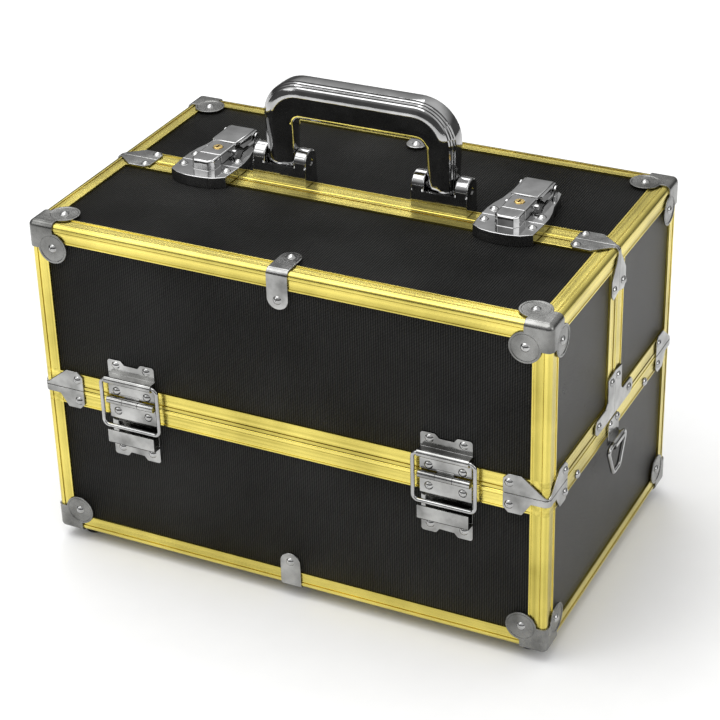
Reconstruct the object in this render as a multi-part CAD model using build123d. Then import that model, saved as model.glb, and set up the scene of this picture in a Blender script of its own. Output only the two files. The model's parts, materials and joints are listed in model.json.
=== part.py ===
"""Makeup train case: a hinged metal-framed box whose two upper halves fold outwards and carry
stepped trays with them.

Frame: +X to the right, +Y to the rear, +Z up, all in millimetres. The origin is on the ground,
under the middle of the case. The case stands on four feet.
"""
from build123d import *
import os
from math import cos, radians, sin

# ---------------------------------------------------------------- overall sizes
WIDTH = 360.0
DEPTH = 224.0
BODY_HEIGHT = 234.0
FOOT_HEIGHT = 9.0
SPLIT_HEIGHT = 114.0          # base height, from its underside to the middle of the split
SPLIT_GAP = 0.4               # gap between the closed halves
WALL_PANEL = 4.0              # board thickness

# ---------------------------------------------------------------- extruded frame
FLANGE = 12.0                 # visible width of every profile
FLANGE_THICK = 1.6
INNER_LEG = 1.0
BEAD = 4.2                    # rounded bead beside the outer edge
BEAD_RADIUS = 3.0
GROOVE = 0.6
RECESS = 0.4                  # how far the flat bands lie under the bead and the lip
LIP = 1.0
RIM_WEB = 3.0
RIM_BEAD = 2.6
RIM_RADIUS = 0.8
END_RECESS = 3.2              # long bars stop short of the outer face inside the corner caps

# ---------------------------------------------------------------- sheet fittings
SHEET = 1.1
SKIN_RADIUS = 4.1             # outer radius of every bent edge
RIVET_RADIUS = 3.0
RIVET_HEAD = 1.7
CAP_DISC_RADIUS = 10.5
CAP_DISH_RADIUS = 9.0
CAP_DISH = 0.35               # depth of the shallow dish round each cap rivet
CAP_DISC_CENTRE = 16.5
CAP_EDGE = 17.5
CLIP_WIDTH = 14.8
CLIP_REACH = 26.0
CLIP_RIVET = 19.5
FOOT_RADIUS = 7.8             # each foot hangs under the middle of a cap's disc
FOOT_TIP_RADIUS = 6.6
PLATE_REACH = 29.5            # corner plates, along the split from the edge
PLATE_HEIGHT = 13.7
PLATE_CHAMFER = 3.5
PLATE_SHOULDER = 17.0         # where a corner plate starts to narrow towards the edge
PLATE_NECK = {1: 1.0, -1: 4.6}
PLATE_RIVET = (25.5, 7.7)
SPLIT_NECK = 2.0              # width of the top split plate where it turns over the end

# ---------------------------------------------------------------- hinges and their wire stays
HINGE_X = 112.5
LEAF_WIDTH = 35.0
LEAF_THICK = 1.2
AXIS_OUT = 3.0                # hinge axis, outside the front and rear faces
AXIS_ABOVE_SPLIT = 0.7
BARREL_RADIUS = 2.5
HINGE_PIN_RADIUS = 1.3
RUNNING_GAP = 0.05
STAY_WIRE_RADIUS = 1.4
STAY_OUT = 4.0                # wire centre line, outside the faces
STAY_TOP = 16.5               # upper bar above the split
STAY_DROP = 35.0
STAY_SPAN = 42.2
STAY_BEND = 4.0
RAISED_OUT = 6.6              # the lower leaf's raised plate, outside the faces

# ---------------------------------------------------------------- trays and their arms
TRAY_COUNT = 3
TRAY_PITCH = 27.5
TRAY_HEIGHT = 25.5
TRAY_ABOVE_SPLIT = 11.5       # underside of the lowest tray
TRAY_HALF_LENGTH = 169.5
TRAY_INNER_Y = 2.5
TRAY_OUTER_Y = 98.5
TRAY_WALL = 1.8
TRAY_RIM = 3.0
TRAY_RIM_HEIGHT = 1.5
TRAY_CORNER = 5.0
TRAY_DIVIDER_X = 56.0
ARM_LEAN = 30.0               # degrees from the vertical, towards the middle when closed
ARM_BELOW_SPLIT = 9.2
ARM_PIVOT_Y = {"inner": 62.5, "outer": 86.5}
ARM_NEAR_X = 171.0
ARM_THICK = 1.5
ARM_WIDTH = 10.0
STUD_RADIUS = 1.98
STUD_HEAD_RADIUS = 3.4
STUD_HEAD = 0.6
TRAY_HOLE = {"inner": 2.03, "outer": 2.3}

# ---------------------------------------------------------------- carrying handle
HANDLE_PIVOT_Y = 9.5
HANDLE_PIVOT_UP = 15.5        # above the lid
HANDLE_TOP_UP = 74.0          # above the lid
HANDLE_HALF_WIDTH = 70.0
HANDLE_CORNER = 28.0
GRIP_HEIGHT = 27.0
GRIP_DEPTH = 22.0
GRIP_SHOULDER = 9.0           # full depth this far down, then narrowing
GRIP_UNDERSIDE = 17.0
LEG_X = 57.5
LEG_WIDTH = 20.3
LEG_DEPTH = 14.0
WINDOW_HALF_WIDTH = 46.5
WINDOW_CORNER = 5.0
HANDLE_ROUND = 4.0
BRACKET_WIDTH = 39.3
BRACKET_DEPTH = 17.0
EAR_WIDTH = 9.0
BRACKET_FLOOR = 2.0
BRACKET_WEB_UP = 13.0
BRACKET_WEB = 1.6
HANDLE_PIN_RADIUS = 2.5

# ---------------------------------------------------------------- latches (heights are above the lid)
LATCH_X = 109.0
LATCH_WALL = 1.2
LATCH_DECK = 6.3              # top of the hollow plates that carry each latch
LATCH_HALF = 21.3
LATCH_BLOCK_HALF = 8.4        # half width of the nose and of the hook
NOSE_FRONT = 12.5
NOSE_TOP = 13.3
POCKET_HALF = 5.5
POCKET_DEPTH = 5.2
HOOK_REAR = 19.9
HOOK_TOP = 13.2
HOOK_FIT = 0.2                # the hook slides this far above the plate
TONGUE_HALF = 4.5
TONGUE_OVERLAP = 1.8
TONGUE = (9.0, 10.0)          # lowest and highest face of the tongue
SIDE_PIN = (1.6, 11.5, 16.0, 9.2)     # radius, half length, y and height of the hook's cross pin
LEVER_FRONT = 20.4
LEVER_REAR = 46.5
LEVER_HALF = (8.6, 9.6)       # half width at its front and at its rear
LEVER_TOP = 13.8
LEVER_THICK = 1.6
LEVER_PIVOT_Y = 43.6
LEVER_PIVOT_UP = 9.7
LEVER_PIN_RADIUS = 1.3
SKIRT_OUT = 10.8
SKIRT = 1.2
LUG = 1.4
LUG_OUT = 12.6
LUG_RADIUS = 2.8
LOCK_RADIUS = 3.3
LOCK_Y = 11.5
LOCK_FOOT = 9.0
LOCK_TOP = 13.8
KEY_SLOT = (0.5, 2.3)         # half width and half length of the keyway
LATCH_RIVET_X = 16.3

# ---------------------------------------------------------------- strap rings
RING_AXIS_OUT = 3.5
RING_BELOW_SPLIT = 18.5
RING_WIRE_RADIUS = 1.5
RING_HALF_TOP = 16.5
RING_HALF_BOTTOM = 5.5
RING_DROP = 22.0
RING_PLATE_HALF = 9.5
RING_ROLL_HALF = 8.0
RING_ROLL = 1.4               # metal round the ring

# ---------------------------------------------------------------- worked-out places
X_FACE = WIDTH / 2
Y_FACE = DEPTH / 2
BOTTOM = FOOT_HEIGHT
TOP = FOOT_HEIGHT + BODY_HEIGHT
SPLIT = FOOT_HEIGHT + SPLIT_HEIGHT
BASE_RIM = SPLIT - SPLIT_GAP / 2
LID_RIM = SPLIT + SPLIT_GAP / 2
SEAM = SPLIT_GAP / 2
SLOT_NEAR = FLANGE_THICK
SLOT_FAR = FLANGE_THICK + WALL_PANEL
INNER = SLOT_FAR + INNER_LEG
AXIS_Y = Y_FACE + AXIS_OUT
AXIS_Z = SPLIT + AXIS_ABOVE_SPLIT
STAY_Y = Y_FACE + STAY_OUT
STAY_Z = SPLIT + STAY_TOP
RAISED_FOOT_Z = SPLIT - 30.0
RAISED_TOP_Z = SPLIT - 20.8
TRAY_FLOOR_Z = SPLIT + TRAY_ABOVE_SPLIT
ARM_PIVOT_Z = SPLIT - ARM_BELOW_SPLIT
HANDLE_PIVOT_Z = TOP + HANDLE_PIVOT_UP
HANDLE_TOP_Z = TOP + HANDLE_TOP_UP
RING_AXIS_Z = SPLIT - RING_BELOW_SPLIT
ARM_STEP = TRAY_PITCH / cos(radians(ARM_LEAN))
LATCH_DECK_Z = TOP + LATCH_DECK
LEVER_PIVOT_Z = TOP + LEVER_PIVOT_UP

X_AXIS = (1, 0, 0)
Y_AXIS = (0, 1, 0)
Z_AXIS = (0, 0, 1)


# ---------------------------------------------------------------- small tools
def save(name, solids):
    """Write one sub-part, of one or more separate solids."""
    pieces = []
    for item in solids:
        pieces.extend(item.solids())
    shape = pieces[0] if len(pieces) == 1 else Compound(children=pieces)
    export_step(shape, f"parts/{name}.step")


def block(x, y, z):
    """A box between two x, two y and two z values."""
    size = (abs(x[1] - x[0]), abs(y[1] - y[0]), abs(z[1] - z[0]))
    middle = ((x[0] + x[1]) / 2, (y[0] + y[1]) / 2, (z[0] + z[1]) / 2)
    return Pos(*middle) * Box(*size)


def outline(points):
    return make_face(Polyline(*points, close=True))


def prism_x(points, start, end):
    """Extrude an outline of (y, z) points along X."""
    plane = Plane(origin=(start, 0, 0), x_dir=Y_AXIS, z_dir=X_AXIS)
    return extrude(plane * outline(points), end - start)


def prism_y(points, start, end):
    """Extrude an outline of (x, z) points along Y."""
    plane = Plane(origin=(0, end, 0), x_dir=X_AXIS, z_dir=(0, -1, 0))
    return extrude(plane * outline(points), end - start)


def prism_z(points, start, end):
    """Extrude an outline of (x, y) points along Z."""
    return extrude(Pos(0, 0, start) * outline(points), end - start)


def rod_x(radius, start, end, y, z):
    """A round bar along X."""
    plane = Plane(origin=(start, y, z), x_dir=Y_AXIS, z_dir=X_AXIS)
    return extrude(plane * Circle(radius), end - start)


def rod_y(radius, start, end, x, z):
    """A round bar along Y."""
    plane = Plane(origin=(x, end, z), x_dir=X_AXIS, z_dir=(0, -1, 0))
    return extrude(plane * Circle(radius), end - start)


def rod_z(radius, start, end, x, y):
    """A round bar along Z."""
    return extrude(Pos(x, y, start) * Circle(radius), end - start)


def left_right(solids):
    """The solids and their mirror images on the other end of the case."""
    return list(solids) + [mirror(item, about=Plane.YZ) for item in solids]


def to_rear(solids):
    """The solids mirrored from the front half to the rear half."""
    return [mirror(item, about=Plane.XZ) for item in solids]


def front_rear(solids):
    return list(solids) + to_rear(solids)


# ---------------------------------------------------------------- frame sections
def corner_section():
    """Edge profile: its outer corner at the origin, a slotted leg along each axis."""
    arm = [
        (BEAD, 0), (BEAD, RECESS + GROOVE), (BEAD + GROOVE, RECESS + GROOVE),
        (BEAD + GROOVE, RECESS), (FLANGE - LIP, RECESS), (FLANGE - LIP, 0), (FLANGE, 0),
        (FLANGE, SLOT_NEAR), (INNER, SLOT_NEAR), (INNER, SLOT_FAR), (FLANGE, SLOT_FAR),
        (FLANGE, INNER),
    ]
    other_arm = [(v, u) for u, v in reversed(arm)]
    points = [(BEAD_RADIUS, 0)] + arm + [(INNER, INNER)] + other_arm + [(0, BEAD_RADIUS)]
    edge = Polyline(*points)
    corner = RadiusArc((0, BEAD_RADIUS), (BEAD_RADIUS, 0), -BEAD_RADIUS)
    return make_face([edge, corner])


def rim_section():
    """Rim profile: u runs into the board from the split, v inwards from the outer face."""
    points = [
        (RIM_RADIUS, 0), (RIM_BEAD, 0), (RIM_BEAD, RECESS + GROOVE),
        (RIM_BEAD + GROOVE, RECESS + GROOVE), (RIM_BEAD + GROOVE, RECESS),
        (FLANGE - LIP, RECESS), (FLANGE - LIP, 0), (FLANGE, 0), (FLANGE, SLOT_NEAR),
        (RIM_WEB, SLOT_NEAR), (RIM_WEB, SLOT_FAR), (FLANGE, SLOT_FAR), (FLANGE, INNER),
        (0, INNER), (0, RIM_RADIUS),
    ]
    edge = Polyline(*points)
    corner = RadiusArc((0, RIM_RADIUS), (RIM_RADIUS, 0), -RIM_RADIUS)
    return make_face([edge, corner])


def bar(section, start, along, u_dir, length):
    """Extrude a profile section from a start point."""
    return extrude(Plane(origin=start, x_dir=u_dir, z_dir=along) * section, length)


# ---------------------------------------------------------------- sheet fittings cut from a skin
def case_skin():
    """A sheet-metal layer over the whole case, from which folded fittings are cut."""
    outside = Box(WIDTH + 2 * SHEET, DEPTH + 2 * SHEET, BODY_HEIGHT + 2 * SHEET)
    outside = fillet(outside.edges(), SKIN_RADIUS)
    inside = fillet(Box(WIDTH, DEPTH, BODY_HEIGHT).edges(), SKIN_RADIUS - SHEET)
    return Pos(0, 0, BOTTOM + BODY_HEIGHT / 2) * (outside - inside)


def rivet(place, outwards):
    """A domed rivet head that sits on a fitting: the cap of a sphere."""
    ball = (RIVET_RADIUS ** 2 + RIVET_HEAD ** 2) / (2 * RIVET_HEAD)
    above = Box(2 * ball, 2 * ball, RIVET_HEAD, align=(Align.CENTER, Align.CENTER, Align.MIN))
    head = Pos(0, 0, RIVET_HEAD - ball) * Sphere(ball) & above
    return Plane(origin=place, z_dir=outwards) * head


def corner_cap(skin, z_face, z_in):
    """Three-eared cap on the right-hand front corner at the top (z_in -1) or bottom (z_in +1).

    Each ear is dished round its rivet."""
    near = CAP_EDGE
    middle = CAP_DISC_CENTRE
    reach_z = (z_face - z_in * SHEET, z_face + z_in * near)
    tool = block((X_FACE - near, X_FACE + SHEET), (-Y_FACE - SHEET, near - Y_FACE), reach_z)
    cap_x = X_FACE - middle
    cap_y = middle - Y_FACE
    cap_z = z_face + z_in * middle
    tool += rod_z(CAP_DISC_RADIUS, *sorted((z_face - z_in * 2, z_face + z_in)), cap_x, cap_y)
    tool += rod_y(CAP_DISC_RADIUS, -Y_FACE - 2, 1 - Y_FACE, cap_x, cap_z)
    tool += rod_x(CAP_DISC_RADIUS, X_FACE - 1, X_FACE + 2, cap_y, cap_z)
    seat = SHEET - CAP_DISH
    cap = skin & tool
    cap -= rod_z(CAP_DISH_RADIUS, *sorted((z_face - z_in * 2, z_face - z_in * seat)), cap_x, cap_y)
    cap -= rod_y(CAP_DISH_RADIUS, -Y_FACE - 2, -Y_FACE - seat, cap_x, cap_z)
    cap -= rod_x(CAP_DISH_RADIUS, X_FACE + seat, X_FACE + 2, cap_y, cap_z)
    rivets = [
        rivet((cap_x, -Y_FACE - seat, cap_z), (0, -1, 0)),
        rivet((X_FACE + seat, cap_y, cap_z), X_AXIS),
    ]
    return cap, rivets


def split_corner_plate(skin, rim, up):
    """Plate that wraps the front right edge beside the split; up is +1 on a lid, -1 on the base."""
    wide = PLATE_HEIGHT
    far = PLATE_REACH
    neck = PLATE_NECK[up]
    profile = [(0, 0), (far, 0), (far, wide - PLATE_CHAMFER), (far - PLATE_CHAMFER, wide),
               (PLATE_SHOULDER, wide), (FLANGE - 1 if up < 0 else 1, neck), (0, neck)]
    front = [(X_FACE - u, rim + up * v) for u, v in profile]
    front[0], front[-1] = (X_FACE + SHEET, rim), (X_FACE + SHEET, rim + up * neck)
    side = [(u - Y_FACE, rim + up * v) for u, v in profile]
    tool = prism_y(front, -Y_FACE - 2, 1 - Y_FACE)
    tool += prism_x(side, X_FACE - 1, X_FACE + 2)
    bend = (rim, rim + up * neck)
    tool += block((X_FACE - 5, X_FACE + 2), (-Y_FACE - 2, 5 - Y_FACE), bend)
    inset, rise = PLATE_RIVET
    height = rim + up * rise
    rivets = [
        rivet((X_FACE - inset, -Y_FACE - SHEET, height), (0, -1, 0)),
        rivet((X_FACE + SHEET, inset - Y_FACE, height), X_AXIS),
    ]
    return skin & tool, rivets


def top_split_plate(skin):
    """End plate of the front lid at the top split: a top leg folded down over the right end."""
    neck = -SPLIT_NECK
    top_leg = [(X_FACE - 29, -SEAM), (X_FACE - 29, -8.5), (X_FACE - 26, -FLANGE),
               (X_FACE - 14, -FLANGE), (X_FACE - 2, neck), (X_FACE + 2, neck), (X_FACE + 2, -SEAM)]
    side_leg = [(-SEAM, TOP + 2), (neck, TOP + 2), (neck, TOP - 4), (-FLANGE, TOP - 18),
                (-FLANGE, TOP - 29), (-9, TOP - 32.5), (-SEAM, TOP - 30)]
    tool = prism_z(top_leg, TOP - 1, TOP + 2) + prism_x(side_leg, X_FACE - 1, X_FACE + 2)
    tool += block((X_FACE - 5, X_FACE + 2), (neck, -SEAM), (TOP - 5, TOP + 2))
    rivets = [
        rivet((X_FACE - 25, -8.0, TOP + SHEET), Z_AXIS),
        rivet((X_FACE + SHEET, -7.8, TOP - 26), X_AXIS),
    ]
    return skin & tool, rivets


def side_split_plate():
    """L-shaped plate on the right end of the front lid, where its post meets the rim."""
    points = [(-SEAM, LID_RIM + 0.3), (-SEAM, SPLIT + 33), (-FLANGE, SPLIT + 31.5),
              (-FLANGE, SPLIT + 15), (-15.5, SPLIT + 11.8), (-31, SPLIT + 11.8),
              (-34, SPLIT + 8.5), (-34, SPLIT + 3.5), (-30.5, LID_RIM + 0.3)]
    plate = prism_x(points, X_FACE, X_FACE + SHEET)
    rivets = [
        rivet((X_FACE + SHEET, -5.5, SPLIT + 26.5), X_AXIS),
        rivet((X_FACE + SHEET, -27.6, SPLIT + 6), X_AXIS),
    ]
    return plate, rivets


def edge_clip(skin, z_face, z_in):
    """Round-ended clip folded over the middle of the front edge, at the top or the bottom."""
    half = CLIP_WIDTH / 2
    reach = CLIP_REACH - half
    tool = block((-half, half), (-Y_FACE - 2, 1 - Y_FACE), sorted((z_face - z_in * 2, z_face + z_in * reach)))
    tool += block((-half, half), (-Y_FACE - 2, reach - Y_FACE), sorted((z_face - z_in * 2, z_face + z_in)))
    tool += block((-half, half), (-Y_FACE - 2, 5 - Y_FACE), sorted((z_face - z_in * 2, z_face + z_in * 5)))
    tool += rod_y(half, -Y_FACE - 2, 1 - Y_FACE, 0, z_face + z_in * reach)
    tool += rod_z(half, *sorted((z_face - z_in * 2, z_face + z_in)), 0, reach - Y_FACE)
    rivets = [
        rivet((0, -Y_FACE - SHEET, z_face + z_in * CLIP_RIVET), (0, -1, 0)),
        rivet((0, CLIP_RIVET - Y_FACE, z_face - z_in * SHEET), (0, 0, -z_in)),
    ]
    return skin & tool, rivets


# ---------------------------------------------------------------- frames and boards
def base_frame():
    corner = corner_section()
    rim = rim_section()
    bar_half = X_FACE - END_RECESS
    side_half = Y_FACE - FLANGE
    bottom_front = bar(corner, (-bar_half, -Y_FACE, BOTTOM), X_AXIS, Y_AXIS, 2 * bar_half)
    bottom_right = bar(corner, (X_FACE, -side_half, BOTTOM), Y_AXIS, (-1, 0, 0), 2 * side_half)
    save("base_bottom_profiles", front_rear([bottom_front]) + left_right([bottom_right]))
    post = bar(corner, (X_FACE, -Y_FACE, BOTTOM + FLANGE), Z_AXIS, Y_AXIS,
               BASE_RIM - BOTTOM - FLANGE)
    save("base_corner_posts", front_rear(left_right([post])))
    rim_half = X_FACE - FLANGE
    rim_front = bar(rim, (-rim_half, -Y_FACE, BASE_RIM), X_AXIS, (0, 0, -1), 2 * rim_half)
    rim_right = bar(rim, (X_FACE, -side_half, BASE_RIM), Y_AXIS, (0, 0, -1), 2 * side_half)
    save("base_rim_profiles", front_rear([rim_front]) + left_right([rim_right]))


def base_panels():
    heights = (BOTTOM + INNER, BASE_RIM - RIM_WEB)
    long_panel = block((INNER - X_FACE, X_FACE - INNER),
                       (SLOT_NEAR - Y_FACE, SLOT_FAR - Y_FACE), heights)
    side_panel = block((X_FACE - SLOT_FAR, X_FACE - SLOT_NEAR),
                       (INNER - Y_FACE, Y_FACE - INNER), heights)
    bottom_panel = block((INNER - X_FACE, X_FACE - INNER), (INNER - Y_FACE, Y_FACE - INNER),
                         (BOTTOM + SLOT_NEAR, BOTTOM + SLOT_FAR))
    save("base_long_panels", front_rear([long_panel]))
    save("base_side_panels", left_right([side_panel]))
    save("base_bottom_panel", [bottom_panel])


def lid_profiles():
    """Frame bars of the front lid."""
    corner = corner_section()
    rim = rim_section()
    bar_half = X_FACE - END_RECESS
    rim_half = X_FACE - FLANGE
    side_length = Y_FACE - FLANGE - SEAM
    top_front = bar(corner, (-bar_half, -Y_FACE, TOP), X_AXIS, (0, 0, -1), 2 * bar_half)
    rim_front = bar(rim, (rim_half, -Y_FACE, LID_RIM), (-1, 0, 0), Z_AXIS, 2 * rim_half)
    top_split = bar(rim, (-rim_half, -SEAM, TOP), X_AXIS, (0, -1, 0), 2 * rim_half)
    post = bar(corner, (X_FACE, -Y_FACE, LID_RIM), Z_AXIS, Y_AXIS, TOP - FLANGE - LID_RIM)
    top_side = bar(corner, (X_FACE, FLANGE - Y_FACE, TOP), Y_AXIS, (0, 0, -1), side_length)
    rim_side = bar(rim, (X_FACE, -SEAM, LID_RIM), (0, -1, 0), Z_AXIS, side_length)
    split_post = bar(rim, (X_FACE, -SEAM, TOP - FLANGE), (0, 0, -1), (0, -1, 0),
                     TOP - 2 * FLANGE - LID_RIM)
    return [top_front, rim_front, top_split] + left_right([post, top_side, rim_side, split_post])


def lid_panels():
    """Boards of the front lid: the upright front, the top and the pair of ends."""
    heights = (LID_RIM + RIM_WEB, TOP - INNER)
    depths = (INNER - Y_FACE, -SEAM - RIM_WEB)
    half = X_FACE - INNER
    upright = block((-half, half), (SLOT_NEAR - Y_FACE, SLOT_FAR - Y_FACE), heights)
    top = block((-half, half), depths, (TOP - SLOT_FAR, TOP - SLOT_NEAR))
    end = block((X_FACE - SLOT_FAR, X_FACE - SLOT_NEAR), depths, heights)
    return upright, top, left_right([end])


# ---------------------------------------------------------------- hinges
def tab(x_middle, root, tip):
    """The outer tab of a leaf: two ears beside a shallow notch, lying on the board."""
    half = LEAF_WIDTH / 2
    way = 1 if tip > root else -1
    notch = tip - way * 3.0
    points = [(-half, root), (-half, tip), (-7.5, tip), (-5.0, notch), (5.0, notch),
              (7.5, tip), (half, tip), (half, root)]
    face = outline([(x_middle + u, w) for u, w in points])
    ends = [v for v in face.vertices() if abs(v.Y - tip) < 0.1]
    face = fillet(ends, 2.0)
    plane = Plane(origin=(0, SLOT_NEAR - Y_FACE, 0), x_dir=X_AXIS, z_dir=(0, -1, 0))
    return extrude(plane * face, LEAF_THICK)


def barrels(x_middle, spans):
    """Knuckles round the hinge pin, each over one span of X, solid before the pin hole is cut."""
    return [rod_x(BARREL_RADIUS, x_middle + a, x_middle + b, -AXIS_Y, AXIS_Z) for a, b in spans]


def upper_leaf(x_middle):
    """Hinge leaf on the front lid, with the curl that holds the wire stay."""
    ends = (x_middle - LEAF_WIDTH / 2, x_middle + LEAF_WIDTH / 2)
    face = (-Y_FACE - LEAF_THICK, -Y_FACE)
    curl = STAY_WIRE_RADIUS + LEAF_THICK
    leaf = block(ends, face, (SPLIT + 3.8, STAY_Z - 0.5))
    leaf += block(ends, (-STAY_Y, SLOT_NEAR - Y_FACE), (STAY_Z + curl - LEAF_THICK, STAY_Z + curl))
    leaf += rod_x(curl, *ends, -STAY_Y, STAY_Z)
    leaf += block(ends, (-Y_FACE - 2.4, -Y_FACE), (STAY_Z - curl, STAY_Z - 1.2))
    leaf += tab(x_middle, STAY_Z + 1.4, SPLIT + 29.5)
    knuckle = (x_middle - 5.7, x_middle + 5.7)
    leaf += barrels(x_middle, [(-5.7, 5.7)])[0]
    leaf += block(knuckle, (-Y_FACE - 1.4, -Y_FACE), (AXIS_Z, SPLIT + 5))
    leaf -= rod_x(STAY_WIRE_RADIUS + RUNNING_GAP, *ends, -STAY_Y, STAY_Z)
    leaf -= rod_x(HINGE_PIN_RADIUS + RUNNING_GAP, *ends, -AXIS_Y, AXIS_Z)
    return leaf


def lower_leaf(x_middle):
    """Hinge leaf on the base, with the raised plate under the wire stay."""
    half = LEAF_WIDTH / 2
    ends = (x_middle - half, x_middle + half)
    face = (-Y_FACE - LEAF_THICK, -Y_FACE)
    board = (SLOT_NEAR - Y_FACE - LEAF_THICK, SLOT_NEAR - Y_FACE)
    rim_foot = BASE_RIM - FLANGE
    leaf = block(ends, face, (rim_foot - 1.4, SPLIT - 2.4))
    leaf += block(ends, (-Y_FACE - LEAF_THICK, board[1]), (rim_foot - 1.5, rim_foot - 0.3))
    leaf += block(ends, board, (SPLIT - 34, rim_foot - 0.3))
    leaf += tab(x_middle, SPLIT - 33, SPLIT - 43)
    front = -Y_FACE - RAISED_OUT
    back = 1 - Y_FACE
    raised = [(back, RAISED_FOOT_Z - LEAF_THICK), (front + 1, RAISED_FOOT_Z - LEAF_THICK),
              (front, RAISED_FOOT_Z), (front, RAISED_TOP_Z), (front + LEAF_THICK, RAISED_TOP_Z),
              (front + LEAF_THICK, RAISED_FOOT_Z), (back, RAISED_FOOT_Z)]
    leaf += prism_x(raised, *ends)
    for start, end in ((-half, -6.0), (6.0, half)):
        leaf += barrels(x_middle, [(start, end)])[0]
        leaf += block((x_middle + start, x_middle + end), (-Y_FACE - 1.4, -Y_FACE), (SPLIT - 4, AXIS_Z))
    leaf -= rod_x(HINGE_PIN_RADIUS + RUNNING_GAP, *ends, -AXIS_Y, AXIS_Z)
    return leaf


def leaf_rivets(x_middle, heights_on_rim, heights_on_board):
    rivets = []
    for offset in (-11.5, 11.5):
        for height in heights_on_rim:
            rivets.append(rivet((x_middle + offset, -Y_FACE - LEAF_THICK, height), (0, -1, 0)))
        for height in heights_on_board:
            place = (x_middle + offset, SLOT_NEAR - Y_FACE - LEAF_THICK, height)
            rivets.append(rivet(place, (0, -1, 0)))
    return rivets


def stay_loop(x_middle):
    """Rounded rectangle of wire that hangs from the upper leaf."""
    half = STAY_SPAN / 2
    low = STAY_Z - STAY_DROP
    corners = [(x_middle, -STAY_Y, STAY_Z), (x_middle + half, -STAY_Y, STAY_Z),
               (x_middle + half, -STAY_Y, low), (x_middle, -STAY_Y, low)]
    path = FilletPolyline(*corners, radius=STAY_BEND)
    start = Plane(origin=corners[0], x_dir=Y_AXIS, z_dir=X_AXIS)
    right_half = sweep(start * Circle(STAY_WIRE_RADIUS), path=path)
    left_half = mirror(right_half, about=Plane(origin=(x_middle, 0, 0), z_dir=X_AXIS))
    return right_half + left_half


# ---------------------------------------------------------------- trays and arms
def arm_points(which):
    """The arm's pivots from the base upwards, as (y, z) in the front half."""
    y = -ARM_PIVOT_Y[which]
    step_y = ARM_STEP * sin(radians(ARM_LEAN))
    return [(y + k * step_y, ARM_PIVOT_Z + k * TRAY_PITCH) for k in range(TRAY_COUNT + 1)]


def arm(which):
    """One flat arm at the right end of the case, and the studs that carry the trays."""
    pivots = arm_points(which)
    near = ARM_NEAR_X
    far = ARM_NEAR_X + ARM_THICK
    length = TRAY_COUNT * ARM_STEP
    middle_y = (pivots[0][0] + pivots[-1][0]) / 2
    middle_z = (pivots[0][1] + pivots[-1][1]) / 2
    plane = Plane(origin=(near, middle_y, middle_z), x_dir=Y_AXIS, z_dir=X_AXIS)
    strip = SlotCenterToCenter(length, ARM_WIDTH, rotation=90 - ARM_LEAN)
    solid = extrude(plane * strip, ARM_THICK)
    solid -= rod_x(STUD_RADIUS + RUNNING_GAP, near - 1, far + 1, *pivots[0])
    studs = []
    for y, z in pivots[1:]:
        solid -= rod_x(STUD_RADIUS + 0.02, near - 1, far + 1, y, z)
        stud = rod_x(STUD_RADIUS, TRAY_HALF_LENGTH - TRAY_WALL - 0.9, far + STUD_HEAD, y, z)
        stud += rod_x(STUD_HEAD_RADIUS, far, far + STUD_HEAD, y, z)
        stud += rod_x(STUD_HEAD_RADIUS, TRAY_HALF_LENGTH - TRAY_WALL - 0.9,
                      TRAY_HALF_LENGTH - TRAY_WALL - 0.3, y, z)
        studs.append(stud)
    return [solid] + studs


def arm_base_pivots():
    """Headed pins inside the right-hand base rim, one for each arm of the front half."""
    pins = []
    for which in ("inner", "outer"):
        y, z = arm_points(which)[0]
        pin = rod_x(STUD_RADIUS, ARM_NEAR_X - 0.9, X_FACE - INNER, y, z)
        pin += rod_x(STUD_HEAD_RADIUS, ARM_NEAR_X - 0.9, ARM_NEAR_X - 0.3, y, z)
        pins.append(pin)
    return pins


def tray(level):
    """A moulded tray of the front half; level 0 is the lowest."""
    low = TRAY_FLOOR_Z + level * TRAY_PITCH
    high = low + TRAY_HEIGHT
    depth = TRAY_OUTER_Y - TRAY_INNER_Y
    middle = Pos(0, -(TRAY_OUTER_Y + TRAY_INNER_Y) / 2, low)
    inset = 2 * TRAY_WALL
    rim = 2 * TRAY_RIM
    outside = RectangleRounded(2 * TRAY_HALF_LENGTH, depth, TRAY_CORNER)
    inside = RectangleRounded(2 * TRAY_HALF_LENGTH - inset, depth - inset, TRAY_CORNER - TRAY_WALL)
    mouth = RectangleRounded(2 * TRAY_HALF_LENGTH - rim, depth - rim, TRAY_CORNER - TRAY_RIM)
    solid = extrude(middle * outside, TRAY_HEIGHT)
    solid -= extrude(middle * Pos(0, 0, TRAY_WALL) * inside,
                     TRAY_HEIGHT - TRAY_WALL - TRAY_RIM_HEIGHT)
    solid -= extrude(middle * Pos(0, 0, TRAY_HEIGHT / 2) * mouth, TRAY_HEIGHT)
    for x in (-TRAY_DIVIDER_X, TRAY_DIVIDER_X):
        solid += block((x - TRAY_WALL / 2, x + TRAY_WALL / 2),
                       (0.5 - TRAY_OUTER_Y, -TRAY_INNER_Y - 0.5), (low + 0.5, high - 4))
    for which, radius in TRAY_HOLE.items():
        y, z = arm_points(which)[level + 1]
        solid -= rod_x(radius, TRAY_HALF_LENGTH - 4, TRAY_HALF_LENGTH + 1, y, z)
        solid -= rod_x(radius, -TRAY_HALF_LENGTH - 1, 4 - TRAY_HALF_LENGTH, y, z)
    return solid


# ---------------------------------------------------------------- handle
def corner_at(face, x, y):
    """The vertices of a flat outline at one place."""
    return [v for v in face.vertices() if abs(v.X - x) < 0.1 and abs(v.Y - y) < 0.1]


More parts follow.
